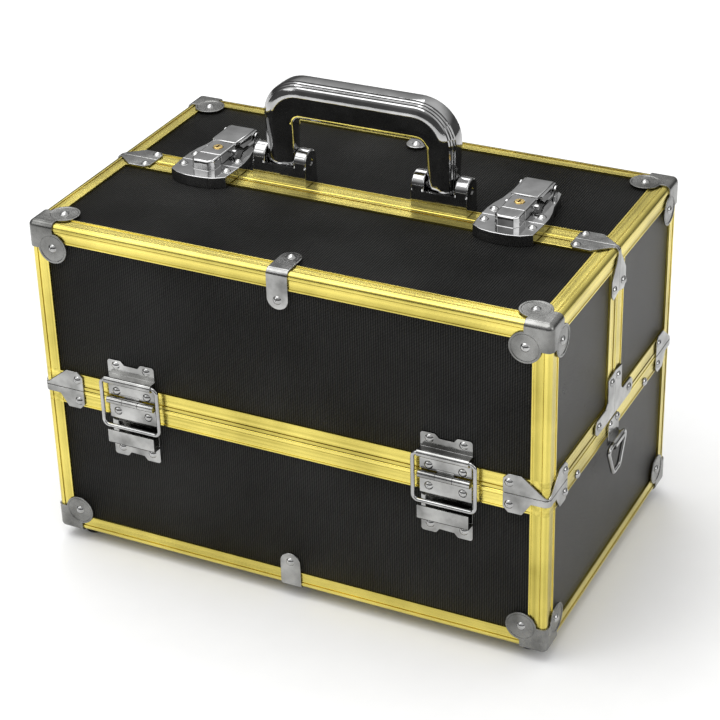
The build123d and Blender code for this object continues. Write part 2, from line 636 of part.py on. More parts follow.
def handle():
    """Cast arch handle: a thick grip on two legs that narrow towards their pivots."""
    grip_low = HANDLE_TOP_Z - GRIP_HEIGHT
    leg_low = HANDLE_PIVOT_Z
    leg_in = LEG_X - LEG_WIDTH / 2
    leg_out = LEG_X + LEG_WIDTH / 2
    face = outline([(0, HANDLE_TOP_Z), (HANDLE_HALF_WIDTH, HANDLE_TOP_Z), (leg_out, leg_low),
                    (leg_in, leg_low), (WINDOW_HALF_WIDTH, grip_low), (0, grip_low)])
    face = fillet(corner_at(face, HANDLE_HALF_WIDTH, HANDLE_TOP_Z), HANDLE_CORNER)
    face = fillet(corner_at(face, WINDOW_HALF_WIDTH, grip_low), WINDOW_CORNER)
    deep = GRIP_DEPTH / 2
    plane = Plane(origin=(0, HANDLE_PIVOT_Y + deep, 0), x_dir=X_AXIS, z_dir=(0, -1, 0))
    front_view = extrude(plane * face, GRIP_DEPTH)
    slim = LEG_DEPTH / 2
    under = GRIP_UNDERSIDE / 2
    shoulder = HANDLE_TOP_Z - GRIP_SHOULDER
    front_edge = [(-deep, HANDLE_TOP_Z), (-deep, shoulder), (-under, grip_low), (-slim, leg_low)]
    side = outline([*front_edge, *[(-v, z) for v, z in reversed(front_edge)]])
    top_corners = corner_at(side, -deep, HANDLE_TOP_Z) + corner_at(side, deep, HANDLE_TOP_Z)
    side = fillet(top_corners, HANDLE_ROUND)
    across = Plane(origin=(-HANDLE_HALF_WIDTH, HANDLE_PIVOT_Y, 0), x_dir=(0, 1, 0), z_dir=X_AXIS)
    body = (front_view + mirror(front_view, about=Plane.YZ)) & extrude(across * side, 2 * HANDLE_HALF_WIDTH)
    for side_x in (-LEG_X, LEG_X):
        ends = (side_x - LEG_WIDTH / 2, side_x + LEG_WIDTH / 2)
        body += rod_x(LEG_DEPTH / 2, *ends, HANDLE_PIVOT_Y, HANDLE_PIVOT_Z)
        body -= rod_x(HANDLE_PIN_RADIUS + RUNNING_GAP, ends[0] - 1, ends[1] + 1,
                      HANDLE_PIVOT_Y, HANDLE_PIVOT_Z)
    return body


def handle_bracket():
    """Right-hand bracket on the rear lid: two round-topped ears joined by a floor and a low web."""
    low = LEG_X - BRACKET_WIDTH / 2
    high = LEG_X + BRACKET_WIDTH / 2
    front = HANDLE_PIVOT_Y - BRACKET_DEPTH / 2
    rear = HANDLE_PIVOT_Y + BRACKET_DEPTH / 2
    floor = TOP + BRACKET_FLOOR
    bracket = block((low, high), (front, rear), (TOP, floor))
    bracket += block((low, high), (FLANGE + SEAM + 0.2, rear), (TOP - SLOT_NEAR, floor))
    bracket += block((low, high), (front, front + BRACKET_WEB), (TOP, TOP + BRACKET_WEB_UP))
    for start in (low, high - EAR_WIDTH):
        ear = block((start, start + EAR_WIDTH), (front, rear), (TOP, HANDLE_PIVOT_Z))
        ear += rod_x(BRACKET_DEPTH / 2, start, start + EAR_WIDTH, HANDLE_PIVOT_Y, HANDLE_PIVOT_Z)
        bracket += fillet(ear.edges().filter_by(Axis.X, reverse=True).group_by(Axis.Z)[-1], 1.2)
    bracket -= rod_x(HANDLE_PIN_RADIUS + RUNNING_GAP, low - 1, high + 1,
                     HANDLE_PIVOT_Y, HANDLE_PIVOT_Z)
    return bracket


# ---------------------------------------------------------------- latches
def latch_shell(points):
    """Hollow plate over an outline of (x, y) points: a deck with walls down to the lid."""
    frame_edge = FLANGE + SEAM + 0.2
    face = outline(points)
    over_board = block((0, WIDTH), (frame_edge, Y_FACE), (TOP - SLOT_NEAR, TOP))
    over_board += block((0, WIDTH), (-Y_FACE, -frame_edge), (TOP - SLOT_NEAR, TOP))
    shell = extrude(Pos(0, 0, TOP) * face, LATCH_DECK)
    shell += extrude(Pos(0, 0, TOP - SLOT_NEAR) * face, SLOT_NEAR) & over_board
    inside = offset(face, amount=-LATCH_WALL, kind=Kind.INTERSECTION)
    return shell - extrude(Pos(0, 0, TOP - 2) * inside, 2 + LATCH_DECK - LATCH_WALL)


def mirrored(half_points):
    """A closed outline from its right-hand half, symmetrical about the latch's middle."""
    right = [(LATCH_X + u, v) for u, v in half_points]
    left = [(LATCH_X - u, v) for u, v in reversed(half_points)]
    return right + left


def latch_keeper():
    """Front plate and hollow nose block, on the front lid."""
    x = LATCH_X
    half = LATCH_BLOCK_HALF
    keeper = latch_shell(mirrored([(LATCH_HALF, -SEAM), (20.5, -16.5), (13.5, -21.0), (5.0, -22.6)]))
    nose_points = mirrored([(half, -SEAM), (half, 3.6 - NOSE_FRONT), (half - 3, -NOSE_FRONT)])
    nose = prism_z(nose_points, LATCH_DECK_Z - 0.6, TOP + NOSE_TOP)
    nose_top = nose.edges().group_by(Axis.Z)[-1]
    nose = fillet([edge for edge in nose_top if edge.center().Y < -SEAM - 0.1], 1.4)
    pocket = block((x - POCKET_HALF, x + POCKET_HALF), (-SEAM - POCKET_DEPTH, SEAM),
                   (LATCH_DECK_Z + 0.6, TOP + NOSE_TOP - 1.4))
    return keeper + (nose - pocket)


def latch_base():
    """Rear plate with the lever's lugs, on the rear lid."""
    x = LATCH_X
    half_points = [(LATCH_HALF, SEAM), (LATCH_HALF, 9), (20.0, 18), (17.8, 26), (16.6, 37),
                   (15.0, 46), (10.0, 50)]
    plate = latch_shell(mirrored(half_points))
    for start in (x - LUG_OUT, x + LUG_OUT - LUG):
        lug = block((start, start + LUG), (LEVER_PIVOT_Y - LUG_RADIUS, LEVER_PIVOT_Y + LUG_RADIUS),
                    (LATCH_DECK_Z - 0.6, LEVER_PIVOT_Z))
        lug += rod_x(LUG_RADIUS, start, start + LUG, LEVER_PIVOT_Y, LEVER_PIVOT_Z)
        plate += lug - rod_x(LEVER_PIN_RADIUS + RUNNING_GAP, start - 1, start + 3,
                             LEVER_PIVOT_Y, LEVER_PIVOT_Z)
    return plate


def latch_hook(x):
    """Sliding lock cover, with a cross pin, whose tongue reaches into the nose block."""
    half = LATCH_BLOCK_HALF
    cover = block((x - half, x + half), (SEAM + 0.3, HOOK_REAR), (LATCH_DECK_Z + HOOK_FIT, TOP + HOOK_TOP))
    cover = fillet(cover.edges().filter_by(Axis.Y).group_by(Axis.Z)[-1], 1.2)
    cover += block((x - TONGUE_HALF, x + TONGUE_HALF), (-SEAM - TONGUE_OVERLAP, 2),
                   (TOP + TONGUE[0], TOP + TONGUE[1]))
    radius, reach, y, up = SIDE_PIN
    cover += rod_x(radius, x - reach, x + reach, y, TOP + up)
    return cover - rod_z(LOCK_RADIUS + RUNNING_GAP, TOP + LOCK_FOOT - 0.1, TOP + HOOK_TOP + 1, x, LOCK_Y)


def latch_lever(x):
    """Flip-up lever: a flat top with two skirts and a stub pin on each."""
    front, rear = LEVER_HALF
    low = TOP + LEVER_TOP - LEVER_THICK
    top_points = [(x - front, LEVER_FRONT), (x + front, LEVER_FRONT), (x + rear, LEVER_REAR),
                  (x - rear, LEVER_REAR)]
    lever = prism_z(top_points, low, TOP + LEVER_TOP)
    lever = fillet(lever.edges().group_by(Axis.Z)[-1], 0.7)
    skirt_points = [(23.5, low + 0.8), (23.5, low - 1.6), (27, low - 4.4), (45, low - 4.6),
                    (LEVER_REAR, low - 3), (LEVER_REAR, low + 0.8)]
    for side in (-1, 1):
        inner = x + side * (SKIRT_OUT - SKIRT)
        outer = x + side * SKIRT_OUT
        lever += prism_x(skirt_points, *sorted((inner, outer)))
        lever += block((x + side * (front - 1), outer), (23.5, LEVER_REAR), (low, low + 0.8))
        lever += rod_x(LEVER_PIN_RADIUS, *sorted((inner, x + side * LUG_OUT)), LEVER_PIVOT_Y, LEVER_PIVOT_Z)
    return lever


def lock_cylinder(x):
    """Key barrel with a keyway, in the hook's bore."""
    plug = rod_z(LOCK_RADIUS, TOP + LOCK_FOOT, TOP + LOCK_TOP, x, LOCK_Y)
    plug = fillet(plug.edges().sort_by(Axis.Z)[-1], 0.4)
    half_width, half_length = KEY_SLOT
    bottom = TOP + LOCK_TOP - 2.5
    keyway = block((x - half_width, x + half_width), (LOCK_Y - half_length, LOCK_Y + half_length),
                   (bottom, TOP + LOCK_TOP + 1))
    return plug - keyway - rod_z(0.9, bottom, TOP + LOCK_TOP + 1, x, LOCK_Y - half_length / 2)


# ---------------------------------------------------------------- strap rings
def ring_plate():
    """Plate on the right-hand base rim, rolled at its foot round the ring's upper bar."""
    bar_x = X_FACE + RING_AXIS_OUT
    half = RING_PLATE_HALF
    points = [(-half, RING_AXIS_Z), (half, RING_AXIS_Z), (half, SPLIT - 4), (half - 3, SPLIT - 1),
              (3 - half, SPLIT - 1), (-half, SPLIT - 4)]
    plate = prism_x(points, X_FACE, X_FACE + SHEET)
    roll = RING_ROLL_HALF
    plate += rod_y(RING_WIRE_RADIUS + RING_ROLL, -roll, roll, bar_x, RING_AXIS_Z)
    top_skin = (RING_AXIS_Z + 1.6, RING_AXIS_Z + 2.8)
    plate += block((X_FACE, bar_x), (-roll, roll), top_skin)
    return plate - rod_y(RING_WIRE_RADIUS + RUNNING_GAP, -half - 1, half + 1, bar_x, RING_AXIS_Z)


def strap_ring():
    """Wire ring that narrows downwards, hanging at the right-hand end."""
    x = X_FACE + RING_AXIS_OUT
    low = RING_AXIS_Z - RING_DROP
    corners = [(x, 0, RING_AXIS_Z), (x, RING_HALF_TOP, RING_AXIS_Z),
               (x, RING_HALF_BOTTOM, low), (x, 0, low)]
    path = FilletPolyline(*corners, radius=3.0)
    start = Plane(origin=corners[0], x_dir=X_AXIS, z_dir=Y_AXIS)
    rear_half = sweep(start * Circle(RING_WIRE_RADIUS), path=path)
    return rear_half + mirror(rear_half, about=Plane.XZ)


# ---------------------------------------------------------------- sub-parts
def build_base(skin):
    base_frame()
    base_panels()
    cap, rivets = corner_cap(skin, BOTTOM, 1)
    save("base_corner_caps", front_rear(left_right([cap])))
    plate, plate_rivets = split_corner_plate(skin, BASE_RIM, -1)
    save("base_rim_corner_plates", front_rear(left_right([plate])))
    rivets += plate_rivets
    arm_y = -ARM_PIVOT_Y["inner"]
    rivets.append(rivet((X_FACE, arm_y, ARM_PIVOT_Z), X_AXIS))
    rivets.append(rivet((X_FACE + SHEET, -6.3, SPLIT - 4.5), X_AXIS))
    rivets += leaf_rivets(HINGE_X, [SPLIT - 8.1], [SPLIT - 37])
    rivets = left_right(rivets)
    clip, clip_rivets = edge_clip(skin, BOTTOM, 1)
    save("base_edge_clips", front_rear([clip]))
    save("base_rivets", front_rear(rivets + clip_rivets))
    save("hinge_lower_leaves", front_rear(left_right([lower_leaf(HINGE_X)])))
    half = LEAF_WIDTH / 2
    pin = rod_x(HINGE_PIN_RADIUS, HINGE_X - half, HINGE_X + half, -AXIS_Y, AXIS_Z)
    save("hinge_pins", front_rear(left_right([pin])))
    save("arm_base_pivots", front_rear(left_right(arm_base_pivots())))
    save("strap_ring_plates", left_right([ring_plate()]))
    foot = Cone(FOOT_TIP_RADIUS, FOOT_RADIUS, BOTTOM - SHEET,
                align=(Align.CENTER, Align.CENTER, Align.MIN))
    foot = fillet(foot.edges().sort_by(Axis.Z)[0], 1.2)
    foot = Pos(X_FACE - CAP_DISC_CENTRE, CAP_DISC_CENTRE - Y_FACE, 0) * foot
    save("feet", front_rear(left_right([foot])))
    ring = strap_ring()
    save("strap_ring_right", [ring])
    save("strap_ring_left", [mirror(ring, about=Plane.YZ)])


def build_lids(skin):
    """Both lids: the rear one mirrors the front one, apart from the latches and the handle."""
    upright, top, ends = lid_panels()
    cap, rivets = corner_cap(skin, TOP, -1)
    corner, corner_rivets = split_corner_plate(skin, LID_RIM, 1)
    top_plate, top_rivets = top_split_plate(skin)
    side_plate, side_rivets = side_split_plate()
    clip, clip_rivets = edge_clip(skin, TOP, -1)
    cap_place = (X_FACE - CAP_DISC_CENTRE, CAP_DISC_CENTRE - Y_FACE, TOP + SHEET - CAP_DISH)
    rivets.append(rivet(cap_place, Z_AXIS))
    rivets += corner_rivets + top_rivets + side_rivets
    rivets += leaf_rivets(HINGE_X, [SPLIT + 7], [SPLIT + 25.4])
    rivets = left_right(rivets) + clip_rivets
    pieces = {
        "top_panel": [top],
        "side_panels": ends,
        "profiles": lid_profiles(),
        "corner_caps": left_right([cap]),
        "corner_plates": left_right([corner]),
        "split_plates": left_right([top_plate, side_plate]),
        "edge_clip": [clip],
        "hinge_leaves": left_right([upper_leaf(HINGE_X)]),
    }
    for name, solids in pieces.items():
        save(f"front_lid_{name}", solids)
        save(f"rear_lid_{name}", to_rear(solids))
    save("front_lid_front_panel", [upright])
    save("rear_lid_rear_panel", to_rear([upright]))
    latch_rivets = {}
    for y in (-7.0, 9.0):
        places = [(LATCH_X + side * LATCH_RIVET_X, y, LATCH_DECK_Z) for side in (-1, 1)]
        latch_rivets[y] = left_right([rivet(place, Z_AXIS) for place in places])
    save("front_lid_rivets", rivets + latch_rivets[-7.0])
    save("rear_lid_rivets", to_rear(rivets) + latch_rivets[9.0])
    loops = left_right([stay_loop(HINGE_X)])
    save("front_stay_loops", loops)
    save("rear_stay_loops", to_rear(loops))


def build_handle():
    save("handle", [handle()])
    save("handle_brackets", left_right([handle_bracket()]))
    low = LEG_X - BRACKET_WIDTH / 2 + 0.6
    high = LEG_X + BRACKET_WIDTH / 2 - 0.6
    pin = rod_x(HANDLE_PIN_RADIUS, low, high, HANDLE_PIVOT_Y, HANDLE_PIVOT_Z)
    save("handle_pins", left_right([pin]))


def build_latches():
    save("latch_keepers", left_right([latch_keeper()]))
    save("latch_base_plates", left_right([latch_base()]))
    for side, x in (("left", -LATCH_X), ("right", LATCH_X)):
        save(f"latch_hook_{side}", [latch_hook(x)])
        save(f"latch_lever_{side}", [latch_lever(x)])
        save(f"lock_cylinder_{side}", [lock_cylinder(x)])


def build_trays():
    for which in ("inner", "outer"):
        arms = left_right(arm(which))
        save(f"front_{which}_arms", arms)
        save(f"rear_{which}_arms", to_rear(arms))
    for level, name in enumerate(("low", "middle", "top")):
        front = tray(level)
        save(f"front_tray_{name}", [front])
        save(f"rear_tray_{name}", to_rear([front]))


os.makedirs("parts", exist_ok=True)
case_layer = case_skin()
build_base(case_layer)
build_lids(case_layer)
build_handle()
build_latches()
build_trays()
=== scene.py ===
"""Looks of the makeup train case: materials, finished fittings, studio and camera."""
import json
import math

import bmesh
import bpy
from mathutils import Matrix, Vector


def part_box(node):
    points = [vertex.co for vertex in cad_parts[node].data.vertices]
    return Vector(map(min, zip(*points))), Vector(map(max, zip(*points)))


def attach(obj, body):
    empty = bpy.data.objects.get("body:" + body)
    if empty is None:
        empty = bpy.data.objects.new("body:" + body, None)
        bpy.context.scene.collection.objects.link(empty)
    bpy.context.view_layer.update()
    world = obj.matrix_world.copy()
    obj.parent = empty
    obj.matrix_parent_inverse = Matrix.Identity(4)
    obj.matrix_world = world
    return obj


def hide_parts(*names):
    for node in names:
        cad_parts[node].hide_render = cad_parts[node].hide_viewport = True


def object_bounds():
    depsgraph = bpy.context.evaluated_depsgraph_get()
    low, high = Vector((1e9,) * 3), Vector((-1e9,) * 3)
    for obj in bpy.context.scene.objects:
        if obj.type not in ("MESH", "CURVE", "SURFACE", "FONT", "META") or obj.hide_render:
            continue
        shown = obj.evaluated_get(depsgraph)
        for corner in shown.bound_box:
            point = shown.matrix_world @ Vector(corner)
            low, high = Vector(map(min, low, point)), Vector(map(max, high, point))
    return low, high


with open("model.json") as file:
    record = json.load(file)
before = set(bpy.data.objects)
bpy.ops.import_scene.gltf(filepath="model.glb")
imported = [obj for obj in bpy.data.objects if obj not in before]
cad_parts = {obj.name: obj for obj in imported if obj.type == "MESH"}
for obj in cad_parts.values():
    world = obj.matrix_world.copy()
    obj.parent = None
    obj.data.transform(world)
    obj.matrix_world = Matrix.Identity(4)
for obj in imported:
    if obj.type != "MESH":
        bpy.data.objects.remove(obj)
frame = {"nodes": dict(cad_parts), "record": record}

CAD_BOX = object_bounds()
MM = 0.001

# ---------------------------------------------------------------- places read from the frame
CASE_LOW, CASE_HIGH = CAD_BOX
FACE_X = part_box("base_corner_posts")[1].x
BASE_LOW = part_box("base_bottom_profiles")[0].z
LID_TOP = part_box("front_lid_profiles")[1].z
SLOT_OF = {part["node"]: part["material_slot"] for part in frame["record"]["subparts"]}
BODIES = frame["record"]["behaviour"]["bodies"]
BODY_OF = {node: body for body, nodes in BODIES.items() for node in nodes}
SPLIT_Z = (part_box("base_rim_profiles")[1].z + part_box("front_lid_profiles")[0].z) / 2
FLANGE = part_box("base_bottom_profiles")[1].z - BASE_LOW

# ---------------------------------------------------------------- camera
CAMERA_AZIMUTH = 26.76
CAMERA_ELEVATION = 29.61
CAMERA_ROLL = -1.64
CAMERA_DISTANCE = 1.5
CAMERA_LENS = 108.2
CAMERA_SENSOR = 36.0
CAMERA_AIM_SHIFT = Vector((-14.4, 26.1, -53.0)) * MM   # from the middle of the case's box


# ---------------------------------------------------------------- shader helpers
def shader(tree, kind, inputs=None, **settings):
    """Add one node; inputs are sockets to link or values to set."""
    made = tree.nodes.new(kind)
    for key, value in settings.items():
        setattr(made, key, value)
    for key, value in (inputs or {}).items():
        if isinstance(value, bpy.types.NodeSocket):
            tree.links.new(value, made.inputs[key])
        else:
            made.inputs[key].default_value = value
    return made


def calc(tree, operation, first, second=0.0):
    inputs = {0: first, 1: second}
    return shader(tree, "ShaderNodeMath", inputs, operation=operation).outputs[0]


def weighed(tree, first, first_share, second, second_share):
    """The sum of two values, each times its share."""
    first_part = calc(tree, "MULTIPLY", first, first_share)
    second_part = calc(tree, "MULTIPLY", second, second_share)
    return calc(tree, "ADD", first_part, second_part)


def noise(tree, vector, scale, detail=3.0, roughness=0.5):
    inputs = {"Vector": vector, "Scale": scale, "Detail": detail, "Roughness": roughness}
    return shader(tree, "ShaderNodeTexNoise", inputs).outputs[0]


def spread(tree, value, low, high, start=0.3, end=0.7):
    """Map the middle of a noise's range to low..high."""
    inputs = {"Value": value, "From Min": start, "From Max": end, "To Min": low, "To Max": high}
    return shader(tree, "ShaderNodeMapRange", inputs).outputs[0]


def blend_colours(tree, share, first, second):
    made = shader(tree, "ShaderNodeMix", data_type="RGBA")
    tree.links.new(share, made.inputs["Factor"])
    made.inputs[6].default_value = (*first, 1)
    made.inputs[7].default_value = (*second, 1)
    return made.outputs[2]


def stretched(tree, point, scales):
    inputs = {0: point, 1: scales}
    return shader(tree, "ShaderNodeVectorMath", inputs, operation="MULTIPLY").outputs[0]


def start_material(name, metallic, **uniform):
    """A material with its principled shader, and the point on the case in metres."""
    material = bpy.data.materials.new(name)
    material.use_nodes = True
    tree = material.node_tree
    surface = tree.nodes["Principled BSDF"]
    surface.inputs["Metallic"].default_value = metallic
    for key, value in uniform.items():
        surface.inputs[key.replace("_", " ")].default_value = value
    point = shader(tree, "ShaderNodeTexCoord").outputs["Object"]
    return material, tree, surface, point


def set_relief(tree, surface, height, depth, strength=1.0):
    inputs = {"Height": height, "Distance": depth, "Strength": strength}
    bump = shader(tree, "ShaderNodeBump", inputs)
    tree.links.new(bump.outputs[0], surface.inputs["Normal"])


# ---------------------------------------------------------------- materials
DIAMOND_WIDE = 3.2 * MM
DIAMOND_TALL = 2.0 * MM
DIAMOND_RELIEF = 0.0012
DRAWN_ALONG = 0.004           # texture scale along a bar, against 1 across it


def bar_direction_scales(tree, point, across, along):
    """Texture scales that are small along whichever way the frame bar under the point runs."""
    place = shader(tree, "ShaderNodeSeparateXYZ", {0: point})
    end = calc(tree, "GREATER_THAN", calc(tree, "ABSOLUTE", place.outputs["X"]), FACE_X - FLANGE)
    level = None
    for height in (BASE_LOW + FLANGE / 2, SPLIT_Z, LID_TOP - FLANGE / 2):
        reach = FLANGE * (1.05 if height == SPLIT_Z else 0.55)
        away = calc(tree, "ABSOLUTE", calc(tree, "SUBTRACT", place.outputs["Z"], height))
        near = calc(tree, "LESS_THAN", away, reach)
        level = near if level is None else calc(tree, "MAXIMUM", level, near)
    runs_y = calc(tree, "MULTIPLY", end, level)
    runs_z = calc(tree, "SUBTRACT", end, runs_y)
    runs_x = calc(tree, "SUBTRACT", 1.0, end)
    runs = shader(tree, "ShaderNodeCombineXYZ", {0: runs_x, 1: runs_y, 2: runs_z}).outputs[0]
    cut = stretched(tree, runs, (along - across,) * 3)
    whole = shader(tree, "ShaderNodeVectorMath", {0: cut, 1: (across,) * 3}, operation="ADD")
    return whole.outputs[0]


def frame_gold():
    """Satin gold anodising with fine lines drawn lengthwise along each bar."""
    material, tree, surface, point = start_material("frame_gold", 1.0)
    scales = bar_direction_scales(tree, point, 1.0, DRAWN_ALONG)
    drawn = stretched(tree, point, scales)
    lines = noise(tree, drawn, 1500.0, 2.0)
    bands = noise(tree, drawn, 260.0, 2.0)
    clouds = noise(tree, point, 24.0)
    tint = spread(tree, weighed(tree, bands, 0.6, clouds, 0.4), 0.0, 1.0)
    colour = blend_colours(tree, tint, (0.33, 0.27, 0.05), (0.98, 0.83, 0.215))
    tree.links.new(colour, surface.inputs["Base Color"])
    tree.links.new(spread(tree, lines, 0.17, 0.32), surface.inputs["Roughness"])
    set_relief(tree, surface, lines, 0.00012, 0.8)
    return material


def panel_black():
    """Black laminate, embossed with small diamonds on the upright boards and finer on the top."""
    material, tree, surface, point = start_material("panel_black", 0.0)
    place = shader(tree, "ShaderNodeSeparateXYZ", {0: point})
    normal = shader(tree, "ShaderNodeNewGeometry").outputs["True Normal"]
    facing = shader(tree, "ShaderNodeSeparateXYZ", {0: normal})
    flat = calc(tree, "GREATER_THAN", calc(tree, "ABSOLUTE", facing.outputs["Z"]), 0.7)
    around = calc(tree, "ADD", place.outputs["X"], place.outputs["Y"])
    across_choice = {"Factor": flat, "A": around, "B": place.outputs["X"]}
    across = shader(tree, "ShaderNodeMix", across_choice).outputs[0]
    up_choice = {"Factor": flat, "A": place.outputs["Z"], "B": place.outputs["Y"]}
    up = shader(tree, "ShaderNodeMix", up_choice).outputs[0]
    wide = calc(tree, "MULTIPLY", across, 2 * math.pi / DIAMOND_WIDE)
    tall = calc(tree, "MULTIPLY", up, 2 * math.pi / DIAMOND_TALL)
    rising = calc(tree, "SINE", calc(tree, "ADD", wide, tall))
    falling = calc(tree, "SINE", calc(tree, "SUBTRACT", wide, tall))
    diamonds = calc(tree, "MULTIPLY", rising, falling)
    grain = noise(tree, point, 2600.0, 2.0)
    relief = weighed(tree, diamonds, 0.5, grain, 0.35)
    clouds = noise(tree, point, 14.0)
    dust = noise(tree, point, 420.0, 4.0, 0.7)
    shade = weighed(tree, clouds, 0.7, dust, 0.3)
    worn = calc(tree, "ADD", calc(tree, "MULTIPLY", diamonds, 0.5), shade)
    share = spread(tree, worn, 0.0, 1.0, 0.35, 1.0)
    colour = blend_colours(tree, share, (0.0005, 0.0005, 0.0005), (0.06, 0.06, 0.058))
    tree.links.new(colour, surface.inputs["Base Color"])
    tree.links.new(spread(tree, shade, 0.26, 0.42), surface.inputs["Roughness"])
    # painted sheen: the end boards get more specular than the front, back and top, so this one
    # laminate shines brighter on the ends
    endward = calc(tree, "ABSOLUTE", facing.outputs["X"])
    painted_sheen_by_facing = calc(tree, "ADD", calc(tree, "MULTIPLY", endward, 0.6), 0.1)
    tree.links.new(painted_sheen_by_facing, surface.inputs["Specular IOR Level"])
    set_relief(tree, surface, relief, DIAMOND_RELIEF, 1.0)
    return material


def worked_metal(name, dark, light, rough_low, rough_high, scratch=0.5, relief=0.00004):
    """Plated or polished metal with cloudy tint, smudges and hairline scratches."""
    material, tree, surface, point = start_material(name, 1.0)
    clouds = noise(tree, point, 60.0, 3.0)
    smudge = noise(tree, point, 190.0, 4.0, 0.65)
    hair = noise(tree, stretched(tree, point, (1.0, 0.12, 0.12)), 2400.0, 2.0)
    cross = noise(tree, stretched(tree, point, (0.1, 1.0, 1.0)), 1900.0, 2.0)
    scratches = calc(tree, "MAXIMUM", hair, cross)
    colour = blend_colours(tree, spread(tree, clouds, 0.0, 1.0), dark, light)
    tree.links.new(colour, surface.inputs["Base Color"])
    worn = weighed(tree, smudge, 1.0 - scratch, scratches, scratch)
    roughness = spread(tree, worn, rough_low, rough_high, 0.35, 0.7)
    tree.links.new(roughness, surface.inputs["Roughness"])
    set_relief(tree, surface, scratches, relief, 0.5)
    return material


def tray_plastic():
    """Matt black moulded plastic with a fine spark-eroded grain."""
    material, tree, surface, point = start_material("tray_plastic", 0.0, Specular_IOR_Level=0.45)
    grain = noise(tree, point, 1600.0, 3.0, 0.6)
    clouds = noise(tree, point, 18.0)
    shade = weighed(tree, grain, 0.4, clouds, 0.6)
    share = spread(tree, shade, 0.0, 1.0)
    colour = blend_colours(tree, share, (0.012, 0.012, 0.013), (0.026, 0.026, 0.027))
    tree.links.new(colour, surface.inputs["Base Color"])
    tree.links.new(spread(tree, shade, 0.42, 0.58), surface.inputs["Roughness"])
    set_relief(tree, surface, grain, 0.00018, 0.7)
    return material


def foot_rubber():
    """Moulded rubber, its tone and roughness varied by a fine grain."""
    material, tree, surface, point = start_material("foot_rubber", 0.0, Specular_IOR_Level=0.3)
    grain = noise(tree, point, 1300.0, 3.0, 0.6)
    share = spread(tree, grain, 0.0, 1.0)
    colour = blend_colours(tree, share, (0.010, 0.010, 0.010), (0.030, 0.029, 0.028))
    tree.links.new(colour, surface.inputs["Base Color"])
    tree.links.new(spread(tree, grain, 0.6, 0.82), surface.inputs["Roughness"])
    set_relief(tree, surface, grain, 0.0002, 0.8)
    return material


# metals as (dark tint, light tint, lowest roughness, highest roughness)
METALS = {
    "fitting_nickel": ((0.18, 0.18, 0.175), (0.50, 0.50, 0.49), 0.08, 0.22),
    # corner caps: nickel brushed rougher than the other fittings, and tinted darker as painted
    # shade that dims their bright reflection of the floor
    "brushed_cap_nickel_painted_shade": ((0.12, 0.12, 0.115), (0.30, 0.30, 0.29), 0.18, 0.34),
    "rivet_steel": ((0.30, 0.30, 0.295), (0.52, 0.52, 0.515), 0.05, 0.13),
    "wire_steel": ((0.32, 0.32, 0.32), (0.52, 0.52, 0.515), 0.07, 0.16),
    "chrome_bright": ((0.34, 0.34, 0.34), (0.58, 0.58, 0.58), 0.02, 0.07),
    "lock_brass": ((0.72, 0.50, 0.16), (0.88, 0.66, 0.27), 0.12, 0.25),
}


def make_materials():
    made = {"frame_gold": frame_gold(), "panel_black": panel_black()}
    for name, look in METALS.items():
        made[name] = worked_metal(name, *look)
    made["tray_plastic"] = tray_plastic()
    made["foot_rubber"] = foot_rubber()
    return made


def paint_cad_nodes(materials):
    """Give every CAD node the detailed material of its slot."""
    for name, node in frame["nodes"].items():
        material = materials[SLOT_OF[name]]
        if not node.material_slots:
            node.data.materials.append(material)
        for slot in node.material_slots:
            slot.material = material


# ---------------------------------------------------------------- finished fittings
# Rounding of each fitting's hard edges in mm.
SOFT_EDGE = {
    "latch_keepers": 0.5, "latch_base_plates": 0.35,
    "latch_hook_left": 0.5, "latch_hook_right": 0.5,
    "base_corner_caps": 0.35, "front_lid_corner_caps": 0.35, "rear_lid_corner_caps": 0.35,
    "base_rim_corner_plates": 0.4, "front_lid_corner_plates": 0.4, "rear_lid_corner_plates": 0.4,
    "front_lid_split_plates": 0.35, "rear_lid_split_plates": 0.35,
    "base_edge_clips": 0.45, "front_lid_edge_clip": 0.45, "rear_lid_edge_clip": 0.45,
}
# Fittings with small curved details keep those sharp: an edge is left alone where it meets one
# that is shorter than FINE_SHORTEST.
FINE_EDGE = 0.2
FINE_SHORTEST = 1.0
FINE_FITTINGS = (
    "latch_lever_left", "latch_lever_right", "handle_brackets", "strap_ring_plates",
    "hinge_lower_leaves", "front_lid_hinge_leaves", "rear_lid_hinge_leaves",
)
MERGE_DISTANCE = 2e-6
FLAT_ANGLE = math.radians(0.6)
HARD_ANGLE = math.radians(32)
BEVEL_SEGMENTS = 2
BEVEL_PROFILE = 0.6
FITTING_SMOOTH_ANGLE = 38


def place_piece(name, mesh, node, material, smooth_angle):
    """Stand a finished piece in for a CAD node, on the node's body and in its slot."""
    made = bpy.data.objects.new(name, mesh)
    bpy.context.scene.collection.objects.link(made)
    mesh.materials.clear()
    mesh.materials.append(material)
    mesh.polygons.foreach_set("use_smooth", [True] * len(mesh.polygons))
    mesh.set_sharp_from_angle(angle=math.radians(smooth_angle))
    shade = made.modifiers.new("flat_faces_stay_flat", "WEIGHTED_NORMAL")
    shade.keep_sharp = True
    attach(made, BODY_OF[node])
    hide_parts(node)


